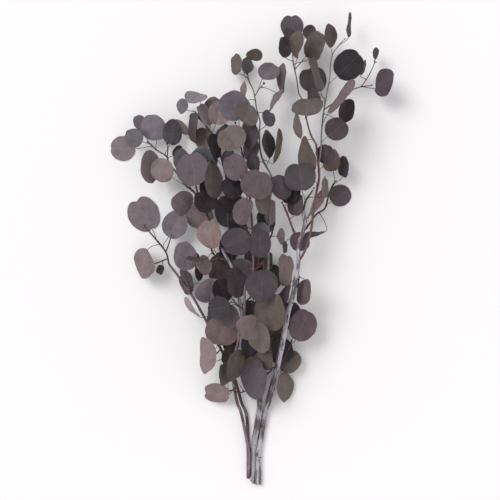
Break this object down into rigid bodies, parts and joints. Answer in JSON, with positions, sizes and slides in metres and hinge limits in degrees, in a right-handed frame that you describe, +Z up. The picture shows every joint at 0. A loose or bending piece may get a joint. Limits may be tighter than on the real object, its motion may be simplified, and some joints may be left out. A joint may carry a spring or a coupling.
{
  "type": "eucalyptus branch",
  "caption": "Bunch of cut eucalyptus branches with round, dark, preserved leaves on thin stalks, lying flat, for a vase or a table.",
  "frame": {"origin": "middle of the bounding box on the surface that the bunch lies on", "axes": "+Z up from the surface, +Y along the stems from their cut ends to the leafy tips, +X to the right as seen from above"},
  "size_m": [0.4, 0.6726, 0.1176],
  "materials": {
    "bark": "matte",
    "foliage": "matte"
  },
  "bodies": {
    "root": {"stem_right": "bark", "stem_back": "bark", "stem_left": "bark", "stem_centre": "bark", "stem_tall": "bark", "spray_left_tip": "foliage", "spray_left_mid": "foliage", "spray_left_low": "foliage", "spray_left_base": "foliage", "spray_collar_left": "foliage", "spray_collar_front": "foliage", "spray_left_inner": "foliage", "spray_upper_left": "foliage", "spray_upper_left_tip": "foliage", "spray_crown_left": "foliage", "spray_centre_low": "foliage", "spray_centre_left": "foliage", "spray_centre_mid": "foliage", "spray_centre_high": "foliage", "spray_centre_upper": "foliage", "spray_centre_tip": "foliage", "spray_collar_top": "foliage", "spray_core_top": "foliage", "spray_mid_top": "foliage", "spray_top_low": "foliage", "spray_top_tip": "foliage", "spray_right_low": "foliage", "spray_right_inner": "foliage", "spray_right_fork_left": "foliage", "spray_right_fork_mid": "foliage", "spray_right_fork_out": "foliage", "spray_right_long": "foliage", "spray_crown_mid": "foliage", "spray_crown_mid_tip": "foliage", "spray_crown_right": "foliage", "spray_crown_right_tip": "foliage", "spray_crown_far": "foliage", "spray_core_back": "foliage", "spray_base_back": "foliage"}
  },
  "joints": []
}
